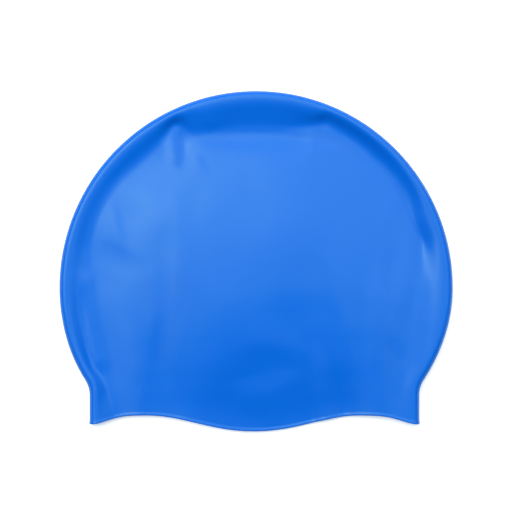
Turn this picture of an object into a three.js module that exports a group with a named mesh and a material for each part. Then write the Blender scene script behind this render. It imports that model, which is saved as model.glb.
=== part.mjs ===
// A moulded silicone swim cap, empty and lying flat on its side, as it lies on a table.
// It is one piece: a thin wall that runs over a rounded fold from the upper face to the lower one,
// and ends in a thicker rounded hem around the mouth where the head goes in.
//
// Frame, in millimetres: X across the cap, +Y from the mouth to the crown, +Z up from the table.
// The origin is on the table, under the middle of the cap's outline.
//
// Both faces are cut into columns. Each column starts at a station on the outline, climbs or
// dips over half of the fold, and runs straight on to the cap's middle line. Along it the wall is
// laid half to each side of a middle surface. The first and last columns follow the hem.

import * as THREE from "three";
import { mergeVertices } from "three/addons/utils/BufferGeometryUtils.js";

// The outline, seen from above.
const CROWN_RADIUS = 110; // the crown is half a circle, so the cap is twice this wide
const CHEEK_RADIUS = 95; // the tighter arc below it, on each side
const NECK_INSET = 17.8; // how far the neck lies in from the widest point
const NECK_FILLET = 16;
const NECK_LENGTH = 16.1; // straight, from the hem's corner up to the fillet

// The hem: a lobe over the ear in the middle, an arch on each side of it, and a corner at each fold.
const ARCH_RISE = 9; // from the lobe's lowest point to the top of an arch
const ARCH_OFFSET = 60.4; // from the middle to the top of an arch
const CORNER_DROP = 4.9; // from the top of an arch to the corner
const HEM_REACH = 42; // this far up the cap the columns have lost the hem's waves
const LOBE_FLATNESS = 1.06; // above 1 the lobe is rounder at its foot
const CORNER_FLATNESS = 1.6; // above 1 the arch is rounder at its top
const NECK_LEAN = -0.9; // along X, how far the neck lies out of line with the crown

// The wall.
const WALL = 0.8;
const HEM_THICKNESS = 1.2;
const HEM_WIDTH = 2.4;

// The cap lying flat, in side view.
const FOLD_HEIGHT = 8.6; // over the two walls, along the fold's highest line
const FOLD_REACH = 3.3; // from the outline in to that line
const VALLEY_DROP = 3; // how far the upper face sinks just inside the fold
const VALLEY_FADE = 28; // how far in the differences between the slope's rows die out
const FACE_LIFT = 5.2; // how far the upper face rises again towards the middle
const FACE_LIFT_RUN = 88; // this far in from the fold it has risen
const MOUTH_SAG = 2.4; // how far the upper face has sunk again at the lobe's hem
const SAG_START = 16.5; // this far in from the fold the sag is at work in full
const SWELL_START = 9.9; // and this far in the swells are

// The slope from the fold down to the upper face, all round the cap. The bearing is in degrees, at
// the crown's centre and from +X towards +Y. Width is a share of the crown's radius, and drop a
// share of the valley's. Outer and inner are the shares of the width that are rounded off there.
const SLOPE_ROWS = [
  { bearing: -42, width: 0.236, drop: 1.3, outer: 0.23, inner: 0.6 }, // right corner
  { bearing: -25, width: 0.228, drop: 1.43, outer: 0.24, inner: 0.48 },
  { bearing: -10, width: 0.203, drop: 1.38, outer: 0.4, inner: 0.35 },
  { bearing: 0, width: 0.17, drop: 1.43, outer: 0.35, inner: 0.3 },
  { bearing: 8, width: 0.136, drop: 1.54, outer: 0.42, inner: 0.25 },
  { bearing: 16, width: 0.113, drop: 1.67, outer: 0.5, inner: 0.18 },
  { bearing: 33, width: 0.109, drop: 1.67, outer: 0.21, inner: 0.6 },
  { bearing: 44, width: 0.094, drop: 1.59, outer: 0.15, inner: 0.6 },
  { bearing: 56, width: 0.083, drop: 1.56, outer: 0.15, inner: 0.6 },
  { bearing: 67, width: 0.074, drop: 1.51, outer: 0.15, inner: 0.6 }, // right pinch starts
  { bearing: 70.5, width: 0.103, drop: 1.56, outer: 0.5, inner: 0.43 }, // right pinch ends
  { bearing: 78, width: 0.138, drop: 1.55, outer: 0.35, inner: 0.15 },
  { bearing: 92, width: 0.149, drop: 1.43, outer: 0.37, inner: 0.15 },
  { bearing: 106, width: 0.156, drop: 1.28, outer: 0.35, inner: 0.27 },
  { bearing: 111, width: 0.158, drop: 1.21, outer: 0.15, inner: 0.6 }, // left pinch starts
  { bearing: 116, width: 0.052, drop: 1.28, outer: 0.3, inner: 0.58 }, // left pinch
  { bearing: 124, width: 0.106, drop: 1.08, outer: 0.49, inner: 0.6 },
  { bearing: 146, width: 0.102, drop: 0.97, outer: 0.35, inner: 0.41 },
  { bearing: 166, width: 0.112, drop: 1.05, outer: 0.3, inner: 0.43 },
  { bearing: 186, width: 0.105, drop: 1.13, outer: 0.26, inner: 0.47 },
  { bearing: 206, width: 0.054, drop: 1.18, outer: 0.34, inner: 0.15 },
  { bearing: 222, width: 0.097, drop: 1.15, outer: 0.15, inner: 0.15 }, // left corner
];

// The sag towards the mouth, as a share of the one at the lobe's hem. Its place is along Y from the
// crown's centre, as a share of the crown's radius.
const SAG_DOWN_ROWS = [
  { place: -0.76, share: 1.017 },
  { place: -0.6, share: 0.845 },
  { place: -0.5, share: 0.452 },
  { place: -0.4, share: 0.11 },
  { place: -0.25, share: -0.05 },
  { place: -0.1, share: -0.05 },
  { place: 0.1, share: 0.003 },
  { place: 0.35, share: -0.002 },
  { place: 0.6, share: 0.013 },
];

// How much of that sag is left at each side. The place is along X in the same way.
const SAG_ACROSS_ROWS = [
  { place: -0.95, share: -0.008 },
  { place: -0.6, share: 0.223 },
  { place: -0.52, share: 0.376 },
  { place: -0.35, share: 0.48 },
  { place: -0.12, share: 0.992 },
  { place: 0.07, share: 1.2 },
  { place: 0.22, share: 1.154 },
  { place: 0.37, share: 0.978 },
  { place: 0.46, share: 0.656 },
  { place: 0.6, share: 0.087 },
  { place: 0.95, share: 0.115 },
];

// Creases of the upper face, each from one place to another. The ends, from the crown's centre, how
// far the crease bows to the left, and its half widths to the left and right are shares of the
// crown's radius. Its rise is a share of the fold's height, and below 0 for a groove.
const CREASE_ROWS = [
  // left groove
  { x1: -0.46, y1: -0.14, x2: -0.55, y2: -0.72, bow: 0, left: 0.11, right: 0.08, rise: -0.03 },
  // left ridge
  { x1: -0.45, y1: 0.44, x2: -0.49, y2: -0.41, bow: 0.01, left: 0.06, right: 0.07, rise: -0.01 },
  // right groove
  { x1: 0.32, y1: -0.06, x2: 0.5, y2: -0.65, bow: -0.01, left: 0.08, right: 0.12, rise: -0.05 },
  // right ridge
  { x1: 0.36, y1: 0.15, x2: 0.53, y2: -0.72, bow: 0.03, left: 0.2, right: 0.06, rise: 0.04 },
  // left pucker
  { x1: -0.39, y1: 0.75, x2: -0.38, y2: 0.68, bow: 0.01, left: 0.06, right: 0.03, rise: -0.05 },
  // left lip of the pucker
  { x1: -0.41, y1: 0.81, x2: -0.4, y2: 0.63, bow: -0.01, left: 0.03, right: 0.06, rise: 0.06 },
  // right lip of the pucker
  { x1: -0.38, y1: 0.74, x2: -0.37, y2: 0.63, bow: 0.02, left: 0.09, right: 0.04, rise: -0.06 },
  // right pucker
  { x1: 0.18, y1: 0.78, x2: 0.24, y2: 0.66, bow: 0.08, left: 0.07, right: 0.05, rise: 0.03 },
  // right pinch
  { x1: 0.33, y1: 0.83, x2: 0.4, y2: 0.72, bow: -0.06, left: 0.08, right: 0.05, rise: -0.04 },
  // cheek dent
  { x1: -0.78, y1: 0.19, x2: -0.61, y2: 0.1, bow: 0, left: 0.09, right: 0.11, rise: -0.03 },
  // second cheek dent
  { x1: -0.68, y1: 0.44, x2: -0.62, y2: 0.23, bow: 0, left: 0.2, right: 0.08, rise: -0.07 },
  // lobe dent
  { x1: -0.07, y1: -0.43, x2: 0.2, y2: -0.46, bow: 0.02, left: 0.18, right: 0.18, rise: -0.1 },
  // lobe swell
  { x1: -0.04, y1: -0.59, x2: 0.17, y2: -0.52, bow: -0.04, left: 0.13, right: 0.15, rise: 0.05 },
  // edge beside the left ridge
  { x1: -0.36, y1: 0.55, x2: -0.34, y2: 0, bow: -0.07, left: 0.14, right: 0.11, rise: 0.03 },
  // jaw ridge
  { x1: -0.88, y1: 0.02, x2: -0.8, y2: -0.39, bow: -0.01, left: 0.08, right: 0.03, rise: 0.07 },
];

// Broad swells and dents of the upper face, each an oval around its middle. The middle, half length
// and half width are shares of the crown's radius, the turn is in degrees, and the rise is as above.
const SWELL_ROWS = [
  { x: 0.08, y: -0.49, long: 0.28, wide: 0.09, turn: 8, rise: 0.05 }, // over the lobe dent
  { x: 0.39, y: -0.81, long: 0.6, wide: 0.1, turn: 99, rise: 0.3 }, // right of the lobe
  { x: 0.2, y: -0.29, long: 0.35, wide: 0.21, turn: 103, rise: -0.07 }, // right brow
  { x: -0.58, y: -0.19, long: 0.45, wide: 0.21, turn: 151, rise: 0.04 }, // left cheek
  { x: -0.61, y: 0.38, long: 0.37, wide: 0.3, turn: 49, rise: 0.13 }, // left temple
  { x: -0.47, y: 0.24, long: 0.6, wide: 0.41, turn: 43, rise: 0.13 }, // upper left
  { x: 0.17, y: 0.51, long: 0.26, wide: 0.46, turn: 25, rise: 0.06 }, // upper right
  { x: 0.79, y: 0, long: 0.56, wide: 0.13, turn: 89, rise: 0.25 }, // right cheek
  { x: 0.58, y: -0.59, long: 0.22, wide: 0.6, turn: 12, rise: 0.3 }, // right jaw
  { x: -0.57, y: -0.63, long: 0.6, wide: 0.17, turn: 102, rise: 0.17 }, // left jaw
  { x: 0.73, y: 0.41, long: 0.39, wide: 0.13, turn: 85, rise: 0.07 }, // right temple
  { x: -0.04, y: 0.77, long: 0.6, wide: 0.09, turn: 179, rise: -0.13 }, // under the crown
  { x: -0.07, y: 0.02, long: 0.6, wide: 0.38, turn: 38, rise: 0.14 }, // middle
  { x: 0.65, y: -0.22, long: 0.49, wide: 0.16, turn: 90, rise: 0.3 }, // right of the groove
  { x: 0.67, y: -0.3, long: 0.24, wide: 0.21, turn: 134, rise: 0.11 }, // right rim
];

// How finely the surface is cut.
const HEM_ROUND_STEPS = 3;
const HEM_FADE_STEPS = 2;
const NECK_STEPS = 3;
const FILLET_STEPS = 3;
const CHEEK_STEPS = 6;
const CROWN_STEPS = 23; // on each side
const FOLD_STEPS = 4; // from the outline to the fold's highest line
const SLOPE_STOPS = [0.4, 1.2, 2.3, 3.7, 5.4]; // past that line, in fold reaches
const UPPER_RINGS = 13; // from there to the middle line
const LOWER_RINGS = 8; // on the lower face, from the fold to the middle line

// Worked out from the sizes above.
const HEM_ROUND = HEM_THICKNESS / 2;
const INSET = WALL / 2; // from the outer skin to the middle surface
const NECK_X = CROWN_RADIUS - NECK_INSET - INSET;
const CHEEK_X = CROWN_RADIUS - CHEEK_RADIUS;
const FILLET_TO_CHEEK = CHEEK_RADIUS + NECK_FILLET;
const FILLET_X = NECK_X + INSET + NECK_FILLET;
const FILLET_RUN = Math.sqrt(FILLET_TO_CHEEK ** 2 - (FILLET_X - CHEEK_X) ** 2);
const CORNER_RISE = ARCH_RISE - CORNER_DROP; // from the lobe's lowest point to the corner
const LENGTH = CORNER_RISE + NECK_LENGTH + FILLET_RUN + CROWN_RADIUS;
const HEM_LOW_Y = -LENGTH / 2;
const CROWN_Y = LENGTH / 2 - CROWN_RADIUS;
const CORNER_Y = HEM_LOW_Y + CORNER_RISE;
const FILLET_Y = CORNER_Y + NECK_LENGTH;
const FILLET_TURN = Math.asin(FILLET_RUN / FILLET_TO_CHEEK); // where the fillet meets the cheek
const REACH = FOLD_REACH - INSET;
const FOLD_MID = FOLD_HEIGHT / 2;
const FOLD_HALF = FOLD_MID - INSET;
const QUARTER = Math.PI / 2;

const { clamp, degToRad, lerp, radToDeg } = THREE.MathUtils;

function smooth(t) {
  return THREE.MathUtils.smootherstep(t, 0, 1);
}

// The whole numbers from 0 to count as shares of count.
function shares(count) {
  return Array.from({ length: count + 1 }, (_, i) => i / count);
}

// Rises from 0 to 1 at a steady slope, with its first and last parts rounded off.
function ramp(t, first, last) {
  const s = clamp(t, 0, 1);
  const slope = 1 / (1 - (first + last) / 2);
  if (s < first) return (slope * s * s) / (2 * first);
  if (s > 1 - last) return 1 - (slope * (1 - s) * (1 - s)) / (2 * last);
  return slope * (s - first / 2);
}

function wave(share, flatness) {
  return (1 - Math.cos(Math.PI * Math.pow(clamp(share, 0, 1), flatness))) / 2;
}

// The hem's edge, as the place along Y of its point at this x.
function hemY(x) {
  const across = Math.abs(x);
  if (across < ARCH_OFFSET) return HEM_LOW_Y + ARCH_RISE * wave(across / ARCH_OFFSET, LOBE_FLATNESS);
  const share = (across - ARCH_OFFSET) / (NECK_X - ARCH_OFFSET);
  return HEM_LOW_Y + ARCH_RISE - CORNER_DROP * wave(share, CORNER_FLATNESS);
}

// A station on the outline of the middle surface, with the way in from it and its distance from
// the hem, which counts only where the hem's own rounding needs it.
function station(x, y, inX, inY, fromHem = Infinity) {
  return { x, y, inX, inY, fromHem };
}

function arcStations(centreX, centreY, radius, from, to, steps, side) {
  return shares(steps).slice(1).map((share) => {
    const angle = lerp(from, to, share);
    const [outX, outY] = [Math.cos(angle), Math.sin(angle)];
    return station(centreX + radius * outX, centreY + radius * outY, side * outX, side * outY);
  });
}

// The right half of the outline, from the hem's corner to the top of the crown.
function rightStations() {
  const round = shares(HEM_ROUND_STEPS).map((share) => HEM_ROUND * (1 - Math.cos(QUARTER * share)));
  const fade = shares(HEM_FADE_STEPS).slice(1).map((share) => lerp(HEM_ROUND, HEM_WIDTH, share));
  const straight = shares(NECK_STEPS).slice(1).map((share) => lerp(HEM_WIDTH, NECK_LENGTH, share));
  return [
    ...[...round, ...fade, ...straight].map((up) => station(NECK_X, CORNER_Y + up, -1, 0, up)),
    ...arcStations(FILLET_X, FILLET_Y, NECK_FILLET + INSET, Math.PI, Math.PI - FILLET_TURN, FILLET_STEPS, 1),
    ...arcStations(CHEEK_X, CROWN_Y, CHEEK_RADIUS - INSET, -FILLET_TURN, 0, CHEEK_STEPS, -1),
    ...arcStations(0, CROWN_Y, CROWN_RADIUS - INSET, 0, QUARTER, CROWN_STEPS, -1),
  ];
}

const RIGHT = rightStations();
const LEFT = RIGHT.slice(0, -1).map((s) => ({ ...s, x: -s.x, inX: -s.inX }));
const STATIONS = [...RIGHT, ...LEFT.reverse()];

// The distance in from the outline of a point of the plan.
function rimDistance(x, y) {
  const across = Math.abs(x);
  let nearest = Infinity;
  for (let i = 1; i < RIGHT.length; i += 1) {
    const [a, b] = [RIGHT[i - 1], RIGHT[i]];
    const [runX, runY] = [b.x - a.x, b.y - a.y];
    const along = ((across - a.x) * runX + (y - a.y) * runY) / (runX ** 2 + runY ** 2);
    const t = clamp(along, i === 1 ? -Infinity : 0, 1);
    nearest = Math.min(nearest, Math.hypot(across - a.x - runX * t, y - a.y - runY * t));
  }
  return nearest;
}

// One column of the slope's table at a bearing, eased between its rows.
function slopeValue(column, bearing) {
  const next = SLOPE_ROWS.findIndex((row) => row.bearing > bearing);
  if (next === 0) return SLOPE_ROWS[0][column];
  if (next < 0) return SLOPE_ROWS[SLOPE_ROWS.length - 1][column];
  const [before, after] = [SLOPE_ROWS[next - 1], SLOPE_ROWS[next]];
  const share = (bearing - before.bearing) / (after.bearing - before.bearing);
  return lerp(before[column], after[column], smooth(share));
}

// How far the upper face lies below the fold's highest line, this far in from that line.
function valleyDepth(inward, bearing) {
  const width = slopeValue("width", bearing) * CROWN_RADIUS;
  const drop = slopeValue("drop", bearing);
  const [outer, inner] = [slopeValue("outer", bearing), slopeValue("inner", bearing)];
  const slope = drop * ramp(inward / width, outer, inner);
  const fade = (1 - drop) * smooth((inward - width) / VALLEY_FADE);
  return VALLEY_DROP * (slope + fade);
}

// The slope of a table's curve at one of its rows, level at both ends.
function slopeAt(rows, i) {
  if (i === 0 || i === rows.length - 1) return 0;
  return (rows[i + 1].share - rows[i - 1].share) / (rows[i + 1].place - rows[i - 1].place);
}

// A soft curve through the rows of a table, read at a place.
function softCurve(place, rows) {
  const at = clamp(place, rows[0].place, rows[rows.length - 1].place);
  const next = Math.max(1, rows.findIndex((row) => row.place >= at));
  const [before, after] = [rows[next - 1], rows[next]];
  const run = after.place - before.place;
  const t = (at - before.place) / run;
  const ends = (1 + 2 * t) * (1 - t) ** 2 * before.share + t * t * (3 - 2 * t) * after.share;
  return ends + t * (1 - t) * run * ((1 - t) * slopeAt(rows, next - 1) - t * slopeAt(rows, next));
}

function sagDepth(x, y) {
  const down = softCurve((y - CROWN_Y) / CROWN_RADIUS, SAG_DOWN_ROWS);
  return MOUTH_SAG * down * softCurve(x / CROWN_RADIUS, SAG_ACROSS_ROWS);
}

function creaseHeight(x, y) {
  const [u, v] = [x / CROWN_RADIUS, (y - CROWN_Y) / CROWN_RADIUS];
  let height = 0;
  for (const row of CREASE_ROWS) {
    const [runX, runY] = [row.x2 - row.x1, row.y2 - row.y1];
    const run = Math.hypot(runX, runY);
    const along = ((u - row.x1) * runX + (v - row.y1) * runY) / run;
    const toLeft = ((v - row.y1) * runX - (u - row.x1) * runY) / run;
    const share = clamp(along / run, 0, 1);
    const off = toLeft - 4 * row.bow * share * (1 - share); // the bow is a parabola
    const across = off > 0 ? off / row.left : -off / row.right;
    const half = (row.left + row.right) / 2;
    const ends = smooth((along + half) / (2 * half)) * smooth((run + half - along) / (2 * half));
    height += row.rise * FOLD_HEIGHT * smooth(1 - across) * ends;
  }
  return height;
}

function swellHeight(x, y) {
  const [u, v] = [x / CROWN_RADIUS, (y - CROWN_Y) / CROWN_RADIUS];
  let height = 0;
  for (const row of SWELL_ROWS) {
    const [c, s] = [Math.cos(degToRad(row.turn)), Math.sin(degToRad(row.turn))];
    const along = ((u - row.x) * c + (v - row.y) * s) / row.long;
    const across = ((v - row.y) * c - (u - row.x) * s) / row.wide;
    height += row.rise * FOLD_HEIGHT * smooth(1 - Math.hypot(along, across));
  }
  return height;
}

// The upper middle surface inside the fold's highest line, over a point of the plan. Nothing of the
// sag, the creases and the swells reaches the fold itself.
function upperHeight(x, y) {
  const inward = Math.max(0, rimDistance(x, y) - REACH);
  const degrees = radToDeg(Math.atan2(y - CROWN_Y, x));
  const bearing = degrees < -90 ? degrees + 360 : degrees;
  const lift = FACE_LIFT * smooth(inward / FACE_LIFT_RUN);
  const sag = sagDepth(x, y) * smooth(inward / SAG_START);
  const creases = creaseHeight(x, y) * smooth(inward / FOLD_REACH);
  const swells = swellHeight(x, y) * smooth(inward / SWELL_START);
  return FOLD_HEIGHT - INSET - valleyDepth(inward, bearing) + lift - sag + creases + swells;
}

function upperNormal(x, y) {
  const step = FOLD_REACH / 20;
  const slopeX = (upperHeight(x + step, y) - upperHeight(x - step, y)) / (2 * step);
  const slopeY = (upperHeight(x, y + step) - upperHeight(x, y - step)) / (2 * step);
  return new THREE.Vector3(-slopeX, -slopeY, 1).normalize();
}

// The wall's thickness at a distance from the hem, with the hem's edge rounded and without.
function wallAt(fromHem) {
  const past = (fromHem - HEM_ROUND) / (HEM_WIDTH - HEM_ROUND);
  const full = lerp(HEM_THICKNESS, WALL, smooth(past));
  const edge = 1 - Math.min(fromHem / HEM_ROUND, 1);
  return { full, rounded: full * Math.sqrt(1 - edge * edge) };
}

// The points of one column, from the outline to the middle line, on the outer skin (side 1) or
// the inner skin (side -1) of the upper or the lower face.
function column(start, upper, side) {
  const up = upper ? 1 : -1;
  const { full, rounded } = wallAt(start.fromHem);
  const raised = upper ? 0 : (full - WALL) / 2; // the thicker hem stays on the table
  const waves = smooth(1 - (start.y - CORNER_Y) / HEM_REACH);
  const climb = Math.min(1, (start.y - CORNER_Y) / (CROWN_Y - CORNER_Y));
  const middleY = lerp(HEM_LOW_Y, CROWN_Y, climb);

  const fold = shares(FOLD_STEPS).map((share) => {
    const [out, high] = [Math.cos(QUARTER * share), Math.sin(QUARTER * share)];
    const x = start.x + start.inX * REACH * (1 - out);
    const y = start.y + start.inY * REACH * (1 - out) + waves * (hemY(x) - CORNER_Y);
    const z = FOLD_MID + up * FOLD_HALF * high + raised * high;
    const outward = out * FOLD_HALF;
    const normal = new THREE.Vector3(-start.inX * outward, -start.inY * outward, up * high * REACH);
    return { at: new THREE.Vector3(x, y, z), normal: normal.normalize() };
  });

  const ridgeX = start.x + start.inX * REACH;
  const ridgeY = start.y + start.inY * REACH;
  const run = Math.hypot(ridgeX, ridgeY - middleY);
  const stops = upper ? SLOPE_STOPS.map((stop) => (stop * FOLD_REACH) / run) : [];
  const first = upper ? stops[stops.length - 1] : 0;
  const rings = shares(upper ? UPPER_RINGS : LOWER_RINGS).slice(1);
  const face = [...stops, ...rings.map((share) => lerp(first, 1, share))].map((share) => {
    const x = ridgeX * (1 - share);
    const chord = lerp(CORNER_Y, HEM_LOW_Y, share);
    const y = lerp(ridgeY, middleY, share) + waves * (hemY(x) - chord);
    const z = upper ? upperHeight(x, y) : INSET + raised;
    const normal = upper ? upperNormal(x, y) : new THREE.Vector3(0, 0, -1);
    return { at: new THREE.Vector3(x, y, z), normal };
  });

  return [...fold, ...face].map(({ at, normal }) => {
    at.x += NECK_LEAN * smooth((CROWN_Y - at.y) / FILLET_RUN);
    return at.addScaledVector(normal, (side * rounded) / 2);
  });
}

// The triangles of one skin of one face. Those with two corners in one place are left out, since
// the columns of the crown all end at its centre.
function skinTriangles(upper, side) {
  const columns = STATIONS.map((start) => column(start, upper, side));
  const turned = upper !== side > 0;
  const corners = [];
  for (let i = 1; i < columns.length; i += 1) {
    for (let j = 1; j < columns[i].length; j += 1) {
      const [a, b, c, d] = [columns[i - 1][j - 1], columns[i][j - 1], columns[i][j], columns[i - 1][j]];
      for (const triangle of [[a, b, c], [a, c, d]]) {
        const [p, q, r] = turned ? triangle.toReversed() : triangle;
        const flat = p.distanceTo(q) < 1e-4 || q.distanceTo(r) < 1e-4 || r.distanceTo(p) < 1e-4;
        if (!flat) corners.push(...p, ...q, ...r);
      }
    }
  }
  return corners;
}

function capGeometry() {
  const corners = [
    ...skinTriangles(true, 1),
    ...skinTriangles(true, -1),
    ...skinTriangles(false, 1),
    ...skinTriangles(false, -1),
  ];
  const loose = new THREE.BufferGeometry();
  loose.setAttribute("position", new THREE.Float32BufferAttribute(corners, 3));
  const geometry = mergeVertices(loose, 1e-4);
  geometry.computeVertexNormals();
  return geometry;
}

const silicone = new THREE.MeshStandardMaterial({ color: 0x2d7ae5, roughness: 0.45, metalness: 0 });
const cap = new THREE.Mesh(capGeometry(), silicone);
cap.name = "cap";

const swimCap = new THREE.Group();
swimCap.add(cap);

export default swimCap;
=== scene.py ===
# %% [markdown]
# # A silicone swim cap, lying flat
#
# The real cap is one moulding: a thin silicone bag with a thicker rounded hem around its mouth.
# Empty and laid down, it flattens into two faces that are joined by a rounded fold. It could be
# modelled as a dome and dropped on the floor by simulation, but silicone keeps the folds it was
# packed with, so the flat form is shaped here, from the sizes of the fold and the faces.

# %% The frame, and the sizes of the cap
import math
import bmesh
import bpy
import numpy as np
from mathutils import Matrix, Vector


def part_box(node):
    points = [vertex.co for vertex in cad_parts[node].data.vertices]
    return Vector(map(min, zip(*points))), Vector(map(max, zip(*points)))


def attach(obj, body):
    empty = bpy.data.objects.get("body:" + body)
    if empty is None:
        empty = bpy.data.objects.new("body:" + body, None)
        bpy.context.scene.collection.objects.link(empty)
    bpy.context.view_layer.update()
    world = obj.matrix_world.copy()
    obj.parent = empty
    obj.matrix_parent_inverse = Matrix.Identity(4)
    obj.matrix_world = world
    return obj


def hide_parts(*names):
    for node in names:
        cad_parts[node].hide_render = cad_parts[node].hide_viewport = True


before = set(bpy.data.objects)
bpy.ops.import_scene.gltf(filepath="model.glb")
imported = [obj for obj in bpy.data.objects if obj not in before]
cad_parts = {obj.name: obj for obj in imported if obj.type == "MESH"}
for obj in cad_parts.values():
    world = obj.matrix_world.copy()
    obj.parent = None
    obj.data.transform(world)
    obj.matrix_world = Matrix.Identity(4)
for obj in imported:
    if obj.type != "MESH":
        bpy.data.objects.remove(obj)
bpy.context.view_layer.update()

cap_low, cap_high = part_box("cap")

MM = 0.001
CROWN_RADIUS = (cap_high.x - cap_low.x) / 2
CROWN_Y = cap_high.y - CROWN_RADIUS
CHEEK_RADIUS = 95 * MM
NECK_INSET = 17.8 * MM
NECK_FILLET = 16 * MM
CORNER_RISE = 4.1 * MM  # from the hem's lowest point to its corners
CORNER_Y = cap_low.y + CORNER_RISE
WALL = 0.8 * MM
FOLD_HEIGHT = 8.6 * MM
FOLD_REACH = 3.3 * MM

INSET = WALL / 2  # from the outer skin to the middle of the wall
REACH = FOLD_REACH - INSET
print(f"The cap is {2000 * CROWN_RADIUS:.0f} mm across and {1000 * (cap_high.y - cap_low.y):.1f} mm long")

# %% [markdown]
# ## The outline
#
# Seen from above, the crown is half a circle. Below it a tighter arc comes in on each side to a
# short straight neck. Arcs that meet without a corner could be drawn as a curve and sampled, but
# here the outline is needed as a function: how far along it, give the point and the way in. The
# first pieces run well below the mouth, so that there is something to cut off. Their corner is
# round, because the fold that is laid inside a sharp one would cross itself.

# %% The outline as a function
NECK_X = CROWN_RADIUS - NECK_INSET - INSET
CHEEK_X = CROWN_RADIUS - CHEEK_RADIUS
FILLET_X = NECK_X + INSET + NECK_FILLET
FILLET_RUN = math.sqrt((CHEEK_RADIUS + NECK_FILLET) ** 2 - (FILLET_X - CHEEK_X) ** 2)
FILLET_TURN = math.asin(FILLET_RUN / (CHEEK_RADIUS + NECK_FILLET))
BELOW_MOUTH = 14 * MM
BOTTOM = CROWN_Y - cap_low.y + BELOW_MOUTH  # from the crown's centre
BOTTOM_ROUND = 8 * MM


def straight(start, end, way_in):
    """A straight piece of the outline: its length, and its point and way in at a share of it."""
    start, end = Vector(start), Vector(end)
    return (end - start).length, lambda share: (start.lerp(end, share), Vector(way_in))


def arc(centre_x, centre_y, radius, first, last, side):
    """A round piece of the outline. Side is 1 where the way in leads away from its centre."""

    def at(share):
        angle = first + (last - first) * share
        out = Vector((math.cos(angle), math.sin(angle)))
        return Vector((centre_x, centre_y)) + out * radius, out * side

    return abs(last - first) * radius, at


# From the middle of the bottom, up the right side to the top of the crown, about its centre.
OUTLINE = [
    straight((0, -BOTTOM), (NECK_X - BOTTOM_ROUND, -BOTTOM), (0, 1)),
    arc(NECK_X - BOTTOM_ROUND, BOTTOM_ROUND - BOTTOM, BOTTOM_ROUND, -math.pi / 2, 0, -1),
    straight((NECK_X, BOTTOM_ROUND - BOTTOM), (NECK_X, -FILLET_RUN), (-1, 0)),
    arc(FILLET_X, -FILLET_RUN, NECK_FILLET + INSET, math.pi, math.pi - FILLET_TURN, 1),
    arc(CHEEK_X, 0, CHEEK_RADIUS - INSET, -FILLET_TURN, 0, -1),
    arc(0, 0, CROWN_RADIUS - INSET, 0, math.pi / 2, -1),
]
HALF_OUTLINE = sum(length for length, _ in OUTLINE)


def outline_at(share):
    """The outline's point and way in, at a share of its right half, and the piece it is on."""
    left = min(share, 1) * HALF_OUTLINE
    for number, (length, at) in enumerate(OUTLINE):
        if left <= length or number == len(OUTLINE) - 1:
            return *at(min(left / length, 1)), number
        left -= length


print(f"Half of the outline is {1000 * HALF_OUTLINE:.0f} mm long")

# %% [markdown]
# ## A round bag
#
# The topology comes first, as a plain round cap: one section of the wall, from the centre of the
# lower face out to the fold, over it, and back to the centre of the upper face, spun through a
# full turn. Its rings run side by side along the fold, where the shape is tight, and lie wider
# apart on the faces. The section is a row of vertices, each extruded from the one before.

# %% Spin the section
SPOKES = 384
FOLD_STEPS = 14
LOWER_RINGS = 12
SLOPE_RINGS = 16  # over the slope between the fold and the upper face
SLOPE_ZONE = 22 * MM
FACE_RINGS = 58
FOLD_MID = FOLD_HEIGHT / 2
FOLD_HALF = FOLD_MID - INSET
RIM = CROWN_RADIUS - INSET


def section():
    """The points of one section of the wall, as distance from the axis and height."""
    ridge = RIM - REACH
    lower = [(ridge * i / LOWER_RINGS, FOLD_MID - FOLD_HALF) for i in range(LOWER_RINGS)]
    turns = [math.pi * (i / FOLD_STEPS - 0.5) for i in range(FOLD_STEPS + 1)]
    fold = [(ridge + REACH * math.cos(t), FOLD_MID + FOLD_HALF * math.sin(t)) for t in turns]
    slope = [ridge - SLOPE_ZONE * i / SLOPE_RINGS for i in range(1, SLOPE_RINGS + 1)]
    face = [(ridge - SLOPE_ZONE) * (1 - i / FACE_RINGS) for i in range(1, FACE_RINGS + 1)]
    return lower + fold + [(radius, FOLD_MID + FOLD_HALF) for radius in slope + face]


bm = bmesh.new()
points = section()
tip = bmesh.ops.create_vert(bm, co=(points[0][0], 0, points[0][1]))["vert"][0]
for radius, height in points[1:]:
    tip = bmesh.ops.extrude_vert_indiv(bm, verts=[tip])["verts"][0]
    tip.co = (radius, 0, height)
bmesh.ops.spin(
    bm,
    geom=bm.verts[:] + bm.edges[:],
    cent=(0, 0, 0),
    axis=(0, 0, 1),
    angle=2 * math.pi,
    steps=SPOKES,
    use_merge=True,
)
bmesh.ops.remove_doubles(bm, verts=bm.verts[:], dist=1e-6)
bmesh.ops.recalc_face_normals(bm, faces=bm.faces[:])
print(f"The round bag has {len(bm.verts)} vertices and {len(bm.faces)} faces")

# %% [markdown]
# ## From the circle to the outline
#
# Each spoke of the bag is laid again: its turn becomes a share of the outline's length, the fold
# goes in from the outline at right angles, so that it keeps its section, and the rest of the
# spoke runs straight on to the crown's centre. How far each vertex lies in from the outline is
# kept in a layer of the mesh, because the shape of the upper face is worked out from it. A layer
# is carried along when the mesh is cut, which a list of numbers would not be.

# %% Lay the spokes on the outline
OUTLINE_SAMPLES = 1200

rim_layer = bm.verts.layers.float.new("from_outline")
samples = [outline_at(i / OUTLINE_SAMPLES) for i in range(OUTLINE_SAMPLES + 1)]
rim_line = np.array([(NECK_X, -BOTTOM)] + [tuple(point) for point, _, piece in samples if piece > 1])


def from_line(points, line):
    """How far each point lies from a line that is given by its corners."""
    nearest = np.full(len(points), np.inf)
    for start, end in zip(line[:-1], line[1:]):
        run = end - start
        share = np.clip((points - start) @ run / (run @ run), 0, 1)
        gap = np.hypot(*(points - start - share[:, None] * run).T)
        nearest = np.minimum(nearest, gap)
    return nearest


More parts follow.
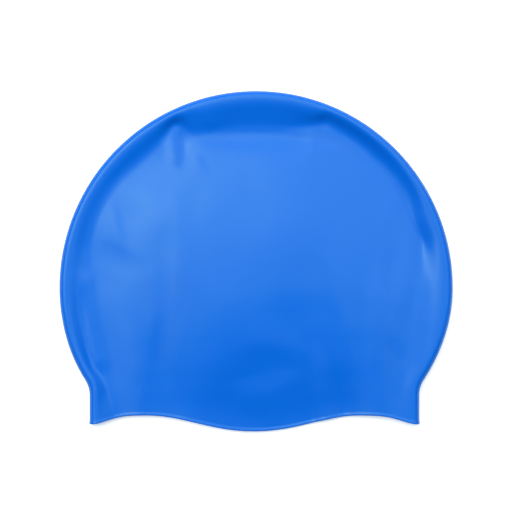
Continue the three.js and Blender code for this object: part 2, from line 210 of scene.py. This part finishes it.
for vert in bm.verts:
    turn = math.atan2(vert.co.x, -vert.co.y)  # 0 at the bottom, and half a turn at the top
    side = 1 if turn >= 0 else -1
    edge_point, way_in, _ = outline_at(abs(turn) / math.pi)
    inward = RIM - vert.co.xy.length
    ridge = edge_point + way_in * min(inward, REACH)
    place = ridge * min(1, (RIM - inward) / (RIM - REACH))
    vert.co.x = side * place.x
    vert.co.y = CROWN_Y + place.y
laid = np.array([(abs(vert.co.x), vert.co.y - CROWN_Y) for vert in bm.verts])
for vert, inward in zip(bm.verts, from_line(laid, rim_line)):
    vert[rim_layer] = inward
print("Spokes are laid on the outline")

# %% [markdown]
# ## The mouth
#
# A cut straight across makes the mouth, and more cuts close above it score the loops that the
# rounded hem needs. Then everything near the mouth is shifted along Y in waves: a lobe over the
# ear in the middle, an arch on each side of it, and a corner at each fold. Cutting first and
# bending after keeps the hem's loops side by side along the waves.

# %% Cut the mouth, score the hem and bend it
HEM_THICKNESS = 1.2 * MM
HEM_WIDTH = 2.4 * MM
HEM_ROUND = HEM_THICKNESS / 2
HEM_ROUND_STEPS = 6
HEM_FADE_STEPS = 5
HEM_REACH = 42 * MM  # this far up from the corners the waves have died out
ARCH_RISE = 9 * MM
ARCH_OFFSET = 60.4 * MM
CORNER_DROP = ARCH_RISE - CORNER_RISE
LOBE_FLATNESS = 1.06
CORNER_FLATNESS = 1.6
NECK_LEAN = -0.9 * MM  # the neck lies a little to the left of the crown


def smooth(t):
    """Eases from 0 to 1 with no jump in slope or bend."""
    t = np.clip(t, 0, 1)
    return t * t * t * (t * (6 * t - 15) + 10)


def cut_across(y, clear=False):
    """Cuts the mesh straight across at y, and with clear removes what lies below."""
    bmesh.ops.bisect_plane(
        bm,
        geom=bm.verts[:] + bm.edges[:] + bm.faces[:],
        dist=1e-6,
        plane_co=(0, y, 0),
        plane_no=(0, -1, 0),
        clear_outer=clear,
    )


def wave(share, flatness):
    return (1 - math.cos(math.pi * min(max(share, 0), 1) ** flatness)) / 2


def hem_y(x):
    """Where along Y the hem's edge lies at this x."""
    across = abs(x)
    if across < ARCH_OFFSET:
        return cap_low.y + ARCH_RISE * wave(across / ARCH_OFFSET, LOBE_FLATNESS)
    share = (across - ARCH_OFFSET) / (NECK_X - ARCH_OFFSET)
    return cap_low.y + ARCH_RISE - CORNER_DROP * wave(share, CORNER_FLATNESS)


turns = [math.pi / 2 * i / HEM_ROUND_STEPS for i in range(1, HEM_ROUND_STEPS + 1)]
fades = [i / HEM_FADE_STEPS for i in range(1, HEM_FADE_STEPS + 1)]
hem_steps = [HEM_ROUND * (1 - math.cos(turn)) for turn in turns]
hem_steps += [HEM_ROUND + (HEM_WIDTH - HEM_ROUND) * fade for fade in fades]
cut_across(CORNER_Y, clear=True)
for up in hem_steps:
    cut_across(CORNER_Y + up)

hem_layer = bm.verts.layers.float.new("from_hem")
for vert in bm.verts:
    up = vert.co.y - CORNER_Y
    vert[hem_layer] = up
    vert.co.y += float(smooth(1 - up / HEM_REACH)) * (hem_y(vert.co.x) - CORNER_Y)
    vert.co.x += NECK_LEAN * float(smooth((CROWN_Y - vert.co.y) / FILLET_RUN))
print(f"The hem has {len([edge for edge in bm.edges if edge.is_boundary])} edges")

# %% [markdown]
# ## The upper face
#
# The upper face sinks just inside the fold, rises again towards the middle and comes down towards
# the mouth. The slope inside the fold is wide over the crown and narrow at the necks, and at two
# places over the crown the wall buckles and pinches it. A table gives the slope at a row of
# bearings, and a curve through its rows gives it in between. The curve must not overshoot its
# rows, because each swing of it would show as a streak across the slope.

# %% The slope inside the fold
VALLEY_DROP = 3 * MM
VALLEY_FADE = 28 * MM  # how far in the differences between the rows below die out
FACE_LIFT = 5.25 * MM
FACE_LIFT_RUN = 88 * MM

# Bearing in degrees at the crown's centre, width as a share of its radius, drop of the valley's,
# and how much of the width is rounded off at the slope's outer and at its inner end.
SLOPE_ROWS = [
    (-42, 0.239, 1.32, 0.23, 0.6),
    (-25, 0.236, 1.47, 0.25, 0.48),
    (-10, 0.21, 1.4, 0.45, 0.32),
    (0, 0.182, 1.43, 0.45, 0.28),
    (8, 0.143, 1.53, 0.48, 0.25),
    (16, 0.108, 1.7, 0.54, 0.21),
    (22, 0.115, 1.71, 0.5, 0.23),
    (33, 0.107, 1.75, 0.22, 0.6),
    (44, 0.094, 1.59, 0.15, 0.6),
    (56, 0.083, 1.56, 0.15, 0.6),
    (67, 0.074, 1.51, 0.15, 0.6),  # right pinch starts
    (70.5, 0.103, 1.56, 0.5, 0.43),  # right pinch ends
    (78, 0.138, 1.55, 0.35, 0.15),
    (86, 0.15, 1.48, 0.34, 0.15),
    (92, 0.149, 1.43, 0.37, 0.15),
    (99, 0.147, 1.38, 0.4, 0.21),
    (106, 0.156, 1.28, 0.35, 0.27),
    (111, 0.158, 1.21, 0.15, 0.6),  # left pinch starts
    (116, 0.052, 1.28, 0.3, 0.58),  # left pinch
    (124, 0.106, 1.08, 0.49, 0.6),
    (135, 0.118, 1.13, 0.46, 0.6),
    (146, 0.102, 0.97, 0.35, 0.41),
    (156, 0.102, 0.95, 0.32, 0.41),
    (166, 0.112, 1.05, 0.3, 0.43),
    (176, 0.145, 1.1, 0.24, 0.6),
    (186, 0.109, 1.11, 0.23, 0.51),
    (196, 0.072, 1.14, 0.2, 0.22),
    (206, 0.046, 1.17, 0.25, 0.15),
    (214, 0.065, 1.15, 0.15, 0.15),
    (222, 0.101, 1.14, 0.15, 0.15),
]


def ramp(t, first, last):
    """Rises from 0 to 1 at a steady slope, with its first and last parts rounded off."""
    t = np.clip(t, 0, 1)
    slope = 1 / (1 - (first + last) / 2)
    middle = slope * (t - first / 2)
    start = slope * t * t / (2 * first)
    end = 1 - slope * (1 - t) ** 2 / (2 * last)
    return np.where(t < first, start, np.where(t > 1 - last, end, middle))


def through(place, stops, values, slopes):
    """A curve through a value at each stop, with a slope there, read at each place."""
    place = np.clip(place, stops[0], stops[-1])
    after = np.clip(np.searchsorted(stops, place), 1, len(stops) - 1)
    before = after - 1
    run = stops[after] - stops[before]
    t = (place - stops[before]) / run
    ends = (1 + 2 * t) * (1 - t) ** 2 * values[before] + t * t * (3 - 2 * t) * values[after]
    return ends + t * (1 - t) * run * ((1 - t) * slopes[before] - t * slopes[after])


def eased(bearing, rows, column):
    """A column of a table at each bearing, on a curve that never overshoots its rows."""
    stops = np.array([row[0] for row in rows], float)
    values = np.array([row[column] for row in rows], float)
    before, after = np.diff(values)[:-1] / np.diff(stops)[:-1], np.diff(values)[1:] / np.diff(stops)[1:]
    same_way = before * after > 0
    slopes = np.zeros(len(rows))
    slopes[1:-1][same_way] = 2 / (1 / before[same_way] + 1 / after[same_way])
    return through(bearing, stops, values, slopes)


def valley_depth(inward, bearing):
    """How far the upper face lies below the fold's highest line, this far in from that line."""
    width = eased(bearing, SLOPE_ROWS, 1) * CROWN_RADIUS
    drop = eased(bearing, SLOPE_ROWS, 2)
    outer, inner = eased(bearing, SLOPE_ROWS, 3), eased(bearing, SLOPE_ROWS, 4)
    fade = (1 - drop) * smooth((inward - width) / VALLEY_FADE)
    return VALLEY_DROP * (drop * ramp(inward / width, outer, inner) + fade)


# %% [markdown]
# ## The sag towards the mouth
#
# The upper face is highest in the middle and sags towards the mouth, most of all at the lobe,
# where its hem comes close to the lower one. One table gives the sag down the middle of the cap, and
# another gives the share of it that is left at each side.

# %% The sag towards the mouth
# Place along Y, as a share of the crown's radius from its centre, and the sag there in millimetres.
SAG_DOWN_ROWS = [
    (0.6, 0.08),
    (0.35, -0.01),
    (0.1, 0.02),
    (-0.1, -0.3),
    (-0.25, -0.3),
    (-0.4, 0.66),
    (-0.5, 2.71),
    (-0.6, 5.07),
    (-0.76, 6.1),
]
# Place along X in the same way, and the share of the sag there.
SAG_ACROSS_ROWS = [
    (-0.95, -0.008),
    (-0.6, 0.223),
    (-0.52, 0.376),
    (-0.35, 0.48),
    (-0.12, 0.992),
    (0.07, 1.2),
    (0.22, 1.154),
    (0.37, 0.978),
    (0.46, 0.656),
    (0.6, 0.087),
    (0.95, 0.115),
]


def curve(place, rows):
    """A soft curve through the rows of a table, read at each place."""
    rows = np.array(sorted(rows), float)
    stops, values = rows[:, 0], rows[:, 1]
    slopes = np.gradient(values, stops)
    slopes[0] = slopes[-1] = 0
    return through(place, stops, values, slopes)


def sag(x, y):
    """How far the upper face has sunk over each point of it."""
    down = curve((y - CROWN_Y) / CROWN_RADIUS, SAG_DOWN_ROWS)
    return down * MM * curve(x / CROWN_RADIUS, SAG_ACROSS_ROWS)


# %% [markdown]
# ## Creases
#
# Each crease runs from one place on the face to another, along a line that may bow to one side.
# How far along and how far across it a point lies gives its height there: it falls away on both
# sides, and at both ends.

# %% The creases
# Start and end as shares of the crown's radius from its centre, bow to the left and half widths on
# the left and right as shares of it too, and rise as a share of the fold's height, below 0 for a
# groove.
CREASE_ROWS = [
    (-0.458, -0.142, -0.546, -0.718, 0.002, 0.11, 0.076, -0.028),  # left groove
    (-0.446, 0.44, -0.492, -0.406, 0.015, 0.059, 0.075, -0.012),  # left ridge
    (0.319, -0.056, 0.503, -0.645, -0.007, 0.084, 0.124, -0.048),  # right groove
    (0.365, 0.151, 0.529, -0.72, 0.033, 0.2, 0.062, 0.035),  # right ridge
    (-0.39, 0.749, -0.379, 0.683, 0.014, 0.058, 0.03, -0.052),  # left pucker
    (-0.413, 0.806, -0.401, 0.632, -0.009, 0.03, 0.064, 0.061),  # left lip of the pucker
    (-0.379, 0.743, -0.371, 0.628, 0.019, 0.093, 0.044, -0.061),  # right lip of the pucker
    (0.182, 0.783, 0.242, 0.661, 0.08, 0.073, 0.052, 0.028),  # right pucker
    (0.334, 0.827, 0.403, 0.72, -0.055, 0.08, 0.054, -0.035),  # right pinch
    (-0.783, 0.189, -0.609, 0.099, 0.003, 0.088, 0.108, -0.031),  # cheek dent
    (-0.678, 0.441, -0.62, 0.229, -0.002, 0.2, 0.083, -0.074),  # second cheek dent
    (-0.069, -0.426, 0.205, -0.46, 0.022, 0.18, 0.176, -0.2),  # lobe dent
    (-0.038, -0.593, 0.168, -0.523, -0.035, 0.128, 0.152, 0.054),  # lobe swell
    (-0.361, 0.547, -0.341, 0.004, -0.067, 0.135, 0.11, 0.027),  # edge beside the left ridge
    (-0.883, 0.06, -0.801, -0.407, -0.013, 0.083, 0.032, 0.076),  # jaw ridge
]


def crease_height(x, y):
    """The height that the creases add over each point of the face."""
    height = np.zeros_like(x)
    right, up = x / CROWN_RADIUS, (y - CROWN_Y) / CROWN_RADIUS
    for x1, y1, x2, y2, bow, half_left, half_right, rise in CREASE_ROWS:
        run = math.hypot(x2 - x1, y2 - y1)
        along = ((right - x1) * (x2 - x1) + (up - y1) * (y2 - y1)) / run
        left = ((up - y1) * (x2 - x1) - (right - x1) * (y2 - y1)) / run
        share = np.clip(along / run, 0, 1)
        off = left - 4 * bow * share * (1 - share)
        across = np.where(off > 0, off / half_left, -off / half_right)
        half = (half_left + half_right) / 2
        ends = smooth((along + half) / (2 * half)) * smooth((run + half - along) / (2 * half))
        height += rise * FOLD_HEIGHT * smooth(1 - across) * ends
    return height


# %% [markdown]
# ## Swells
#
# What the creases leave over is broad and soft: a cheek that stands a little proud, a dent over
# the lobe. Each of these swells is an oval that is highest in its middle and falls away to its
# edge. Ovals add up without a seam, and each can be moved without touching the others.

# %% The swells
# Broad swells and dents: middle as shares of the crown's radius from its centre, half length and
# half width as shares of it too, turn in degrees, and rise as a share of the fold's height.
SWELL_ROWS = [
    (0.078, -0.487, 0.281, 0.089, 8, 0.052),  # over the lobe dent
    (0.386, -0.809, 0.6, 0.101, 99, 0.3),  # right of the lobe
    (-0.011, -0.581, 0.144, 0.09, 2, 0.026),  # middle of the lobe
    (-0.134, -0.46, 0.218, 0.142, 86, -0.023),  # left of the lobe
    (0.204, -0.291, 0.352, 0.215, 103, -0.135),  # right brow
    (-0.579, -0.192, 0.448, 0.212, 151, 0.038),  # left cheek
    (-0.611, 0.378, 0.367, 0.297, 49, 0.134),  # left temple
    (-0.469, 0.243, 0.6, 0.415, 43, 0.127),  # upper left
    (0.175, 0.507, 0.262, 0.463, 25, 0.061),  # upper right
    (0.782, -0.024, 0.496, 0.136, 89, 0.264),  # right cheek
    (0.578, -0.589, 0.217, 0.59, 13, 0.3),  # right jaw
    (-0.566, -0.63, 0.6, 0.17, 102, 0.169),  # left jaw
    (0.727, 0.398, 0.377, 0.162, 91, 0.118),  # right temple
    (-0.038, 0.765, 0.6, 0.088, 179, -0.128),  # under the crown
    (-0.07, 0.019, 0.6, 0.381, 38, 0.144),  # middle
    (0.652, -0.225, 0.48, 0.164, 89, 0.3),  # right of the groove
    (0.674, -0.301, 0.259, 0.217, 134, 0.102),  # right rim
]


def swell_height(x, y):
    """The height that the swells add over each point of the face."""
    height = np.zeros_like(x)
    right, up = x / CROWN_RADIUS, (y - CROWN_Y) / CROWN_RADIUS
    for x_mid, y_mid, half_long, half_wide, turn, rise in SWELL_ROWS:
        c, s = math.cos(math.radians(turn)), math.sin(math.radians(turn))
        along = ((right - x_mid) * c + (up - y_mid) * s) / half_long
        across = ((up - y_mid) * c - (right - x_mid) * s) / half_wide
        height += rise * FOLD_HEIGHT * smooth(1 - np.hypot(along, across))
    return height


# %% [markdown]
# ## The face's height
#
# The height is the fold's, less the valley, with the lift, the sag, the creases and the swells.
# None of these may reach the fold itself, or its round section would ripple, so each starts at
# nothing on the fold and grows over a stretch of its own.

# %% Set the heights
SAG_START = 16.5 * MM  # this far in from the fold the sag is at work in full
CREASE_START = 3.3 * MM
SWELL_START = 9.9 * MM


def face_height(x, y, from_outline):
    """The upper face's height at the middle of its wall, inside the fold's highest line."""
    inward = np.maximum(from_outline - REACH, 0)
    bearing = np.degrees(np.arctan2(y - CROWN_Y, x))
    bearing = np.where(bearing < -90, bearing + 360, bearing)
    lift = FACE_LIFT * smooth(inward / FACE_LIFT_RUN) - sag(x, y) * smooth(inward / SAG_START)
    creases = crease_height(x, y) * smooth(inward / CREASE_START)
    swells = swell_height(x, y) * smooth(inward / SWELL_START)
    return FOLD_HEIGHT - INSET - valley_depth(inward, bearing) + lift + creases + swells


upper = [vert for vert in bm.verts if vert.co.z > FOLD_MID + FOLD_HALF - 1e-7]
heights = face_height(
    np.array([vert.co.x for vert in upper]),
    np.array([vert.co.y for vert in upper]),
    np.array([vert[rim_layer] for vert in upper]),
)
for vert, height in zip(upper, heights):
    vert.co.z = float(height)
print(f"The upper face lies {1000 * heights.min():.1f} to {1000 * heights.max():.1f} mm high")

# %% [markdown]
# ## The wall
#
# So far the mesh is the middle of the wall. A Solidify modifier would give it one thickness and
# a flat edge, and the real hem is a rounded bead. So the mesh is copied, one copy moves out and
# the other in along the normals, by half of a thickness that grows at the hem and ends in a
# half circle, and the two meet at the hem's edge. The thicker hem of the lower face is raised by
# as much as it would reach below the table.

# %% Give the wall its thickness
def wall_at(up):
    """The wall's full thickness this far up from the hem's edge, and with that edge rounded."""
    fade = float(smooth((up - HEM_ROUND) / (HEM_WIDTH - HEM_ROUND)))
    full = HEM_THICKNESS + (WALL - HEM_THICKNESS) * fade
    edge = 1 - min(max(up, 0) / HEM_ROUND, 1)
    return full, full * math.sqrt(1 - edge * edge)


bm.normal_update()
outer = bm.verts[:]
walls = [(vert.normal.copy(), *wall_at(vert[hem_layer])) for vert in outer]
raised = [(full - WALL) / 2 * (vert.co.z < FOLD_MID) for vert, (_, full, _) in zip(outer, walls)]
lowered = [max(0, min(1, (FOLD_MID - vert.co.z) / FOLD_HALF)) for vert in outer]
copied = bmesh.ops.duplicate(bm, geom=bm.verts[:] + bm.edges[:] + bm.faces[:])
inner = [copied["vert_map"][vert] for vert in outer]
bmesh.ops.reverse_faces(bm, faces=[item for item in copied["geom"] if isinstance(item, bmesh.types.BMFace)])
for out, into, (normal, full, rounded), lift, share in zip(outer, inner, walls, raised, lowered):
    rise = Vector((0, 0, lift * share))
    into.co = out.co + rise - normal * rounded / 2
    out.co = out.co + rise + normal * rounded / 2
bmesh.ops.remove_doubles(bm, verts=[vert for vert in bm.verts if vert.is_boundary], dist=1e-6)
for face in bm.faces:
    face.smooth = True

cap_mesh = bpy.data.meshes.new("swim_cap")
bm.to_mesh(cap_mesh)
open_edges = sum(edge.is_boundary for edge in bm.edges)
print(f"Volume {1e6 * bm.calc_volume():.1f} cubic centimetres, open edges {open_edges}")
bm.free()
cap = bpy.data.objects.new("swim_cap", cap_mesh)
bpy.context.scene.collection.objects.link(cap)
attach(cap, "root")
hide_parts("cap")

# %% [markdown]
# ## Shader maths
#
# A finish is a small sum of patterns. Nodes are easier to read as a sum than as a net of links,
# so one class wraps a socket and turns Python's operators into Math nodes, and one method makes
# every other node.


# %% Sockets that can be added and multiplied
class Socket:
    """A shader socket that adds and multiplies like a number."""

    def __init__(self, shader, socket):
        self.shader = shader
        self.socket = socket

    def maths(self, operation, first, second):
        return self.shader.node("ShaderNodeMath", {"operation": operation}, {0: first, 1: second})

    def __add__(self, other):
        return self.maths("ADD", self, other)

    def __mul__(self, other):
        return self.maths("MULTIPLY", self, other)

    __radd__ = __add__
    __rmul__ = __mul__


class Shader:
    """A material and the nodes that are made in it."""

    def __init__(self, name):
        self.material = bpy.data.materials.new(name)
        self.material.use_nodes = True
        self.tree = self.material.node_tree
        self.tree.nodes.clear()

    def node(self, kind, settings=None, sockets=None, output=0):
        """Makes a node, sets it, fills or links its sockets, and gives back one of its outputs."""
        made = self.tree.nodes.new(kind)
        for name, value in (settings or {}).items():
            setattr(made, name, value)
        for name, value in (sockets or {}).items():
            if isinstance(value, Socket):
                self.tree.links.new(value.socket, made.inputs[name])
            else:
                made.inputs[name].default_value = value
        return Socket(self, made.outputs[output]) if made.outputs else None

    def finish(self, surface):
        self.node("ShaderNodeOutputMaterial", None, {"Surface": surface})
        return self.material


# %% [markdown]
# ## Silicone
#
# The rubber is one deep blue right through, with the soft sheen of a mould that was etched
# slightly rough. What light it throws back at a mirror angle is faint and holds little blue, so
# the highlights turn paler and gain hardly any blue. A fine grain and a wider ripple go into one
# Bump node: the grain breaks up the highlights, and the ripple gives the flat parts the faint
# unevenness of a thin moulding.

# %% The silicone's finish
BLUE = (0.0, 0.105, 0.552, 1)
BLUE_PALE = (0.0, 0.1125, 0.573, 1)


def silicone():
    shader = Shader("silicone")
    place = shader.node("ShaderNodeTexCoord", output="Object")

    def noise(scale, detail, roughness=0.5):
        sockets = {"Vector": place, "Scale": scale, "Detail": detail, "Roughness": roughness}
        return shader.node("ShaderNodeTexNoise", None, sockets)

    clouds = noise(28, 3)
    grain = noise(2200, 2)
    ripple = noise(70, 2)
    smudge = noise(90, 4, 0.6)
    mix = {"Factor": clouds, 6: BLUE, 7: BLUE_PALE}
    colour = shader.node("ShaderNodeMix", {"data_type": "RGBA"}, mix, output=2)
    bump = {"Strength": 1, "Distance": 0.04 * MM, "Height": ripple + 0.3 * grain}
    sockets = {
        "Base Color": colour,
        "Roughness": 0.31 + 0.06 * smudge,
        "Normal": shader.node("ShaderNodeBump", None, bump),
        "IOR": 1.4,
        "Specular Tint": (0.575, 0.95, 0.27, 1),
    }
    return shader.finish(shader.node("ShaderNodeBsdfPrincipled", None, sockets))


cap.data.materials.append(silicone())
print("The cap is finished in silicone")

# %% [markdown]
# ## The table, the light and the camera
#
# The cap is seen from straight above, on white. A large soft light stands over the crown's end
# and a smaller one to its left, so the slopes that turn away from both go dark and the crests
# shine. The table glows a little of its own, which keeps the cap's shadow on it faint.

# %% The studio
TABLE_SIZE = 6
KEY_SIZE = (2.6, 2.4)
KEY_RADIANCE = 2.59
KEY_BEARING = math.radians(72)
KEY_LEAN = math.radians(32.4)  # from straight above
SIDE_SIZE = (1.2, 1.1)
SIDE_RADIANCE = 6.53
SIDE_BEARING = math.radians(153)
SIDE_LEAN = math.radians(28.8)
LIGHT_DISTANCE = 2
WORLD_STRENGTH = 0.2
SENSOR_WIDTH = 36
CAMERA_HEIGHT = 1.2
PICTURE_WIDTH = 286.3 * MM  # what the picture shows across, at the height of the outline
PICTURE_X = -0.05 * MM
PICTURE_Y = 2.9 * MM

table = bmesh.new()
bmesh.ops.create_grid(table, x_segments=1, y_segments=1, size=TABLE_SIZE / 2)
table_mesh = bpy.data.meshes.new("table")
table.to_mesh(table_mesh)
table.free()
floor = bpy.data.objects.new("table", table_mesh)
floor.location.z = -0.05 * MM
bpy.context.scene.collection.objects.link(floor)
white = Shader("table_white")
paper = {
    "Base Color": (0.9, 0.9, 0.9, 1),
    "Roughness": 1,
    "Specular IOR Level": 0,
    "Emission Color": (1, 1, 1, 1),
    "Emission Strength": 0.4,
}
floor.data.materials.append(white.finish(white.node("ShaderNodeBsdfPrincipled", None, paper)))

world = bpy.data.worlds.new("studio")
world.use_nodes = True
world.node_tree.nodes["Background"].inputs["Color"].default_value = (0.4, 0.9, 1, 1)
world.node_tree.nodes["Background"].inputs["Strength"].default_value = WORLD_STRENGTH
world.cycles_visibility.glossy = False  # it fills the shadows, and leaves the shine to the softbox
bpy.context.scene.world = world


def softbox(name, bearing, lean, size, radiance):
    """A soft light that faces the cap, leaning from straight above towards a bearing."""
    data = bpy.data.lights.new(name, "AREA")
    data.shape = "RECTANGLE"
    data.size, data.size_y = size
    data.energy = radiance * math.pi * size[0] * size[1]
    light = bpy.data.objects.new(name, data)
    way = Vector((math.cos(bearing) * math.sin(lean), math.sin(bearing) * math.sin(lean), math.cos(lean)))
    light.location = way * LIGHT_DISTANCE
    light.rotation_euler = way.to_track_quat("Z", "Y").to_euler()
    bpy.context.scene.collection.objects.link(light)


softbox("key_light", KEY_BEARING, KEY_LEAN, KEY_SIZE, KEY_RADIANCE)
softbox("side_light", SIDE_BEARING, SIDE_LEAN, SIDE_SIZE, SIDE_RADIANCE)

camera_data = bpy.data.cameras.new("camera")
camera_data.sensor_width = SENSOR_WIDTH
camera_data.lens = SENSOR_WIDTH * (CAMERA_HEIGHT - FOLD_MID) / PICTURE_WIDTH
camera = bpy.data.objects.new("camera", camera_data)
camera.location = (PICTURE_X, PICTURE_Y, CAMERA_HEIGHT)
bpy.context.scene.collection.objects.link(camera)
bpy.context.scene.camera = camera
bpy.context.scene.view_settings.view_transform = "Standard"
print(f"The camera's lens is {camera_data.lens:.0f} mm long, {CAMERA_HEIGHT} m above the table")
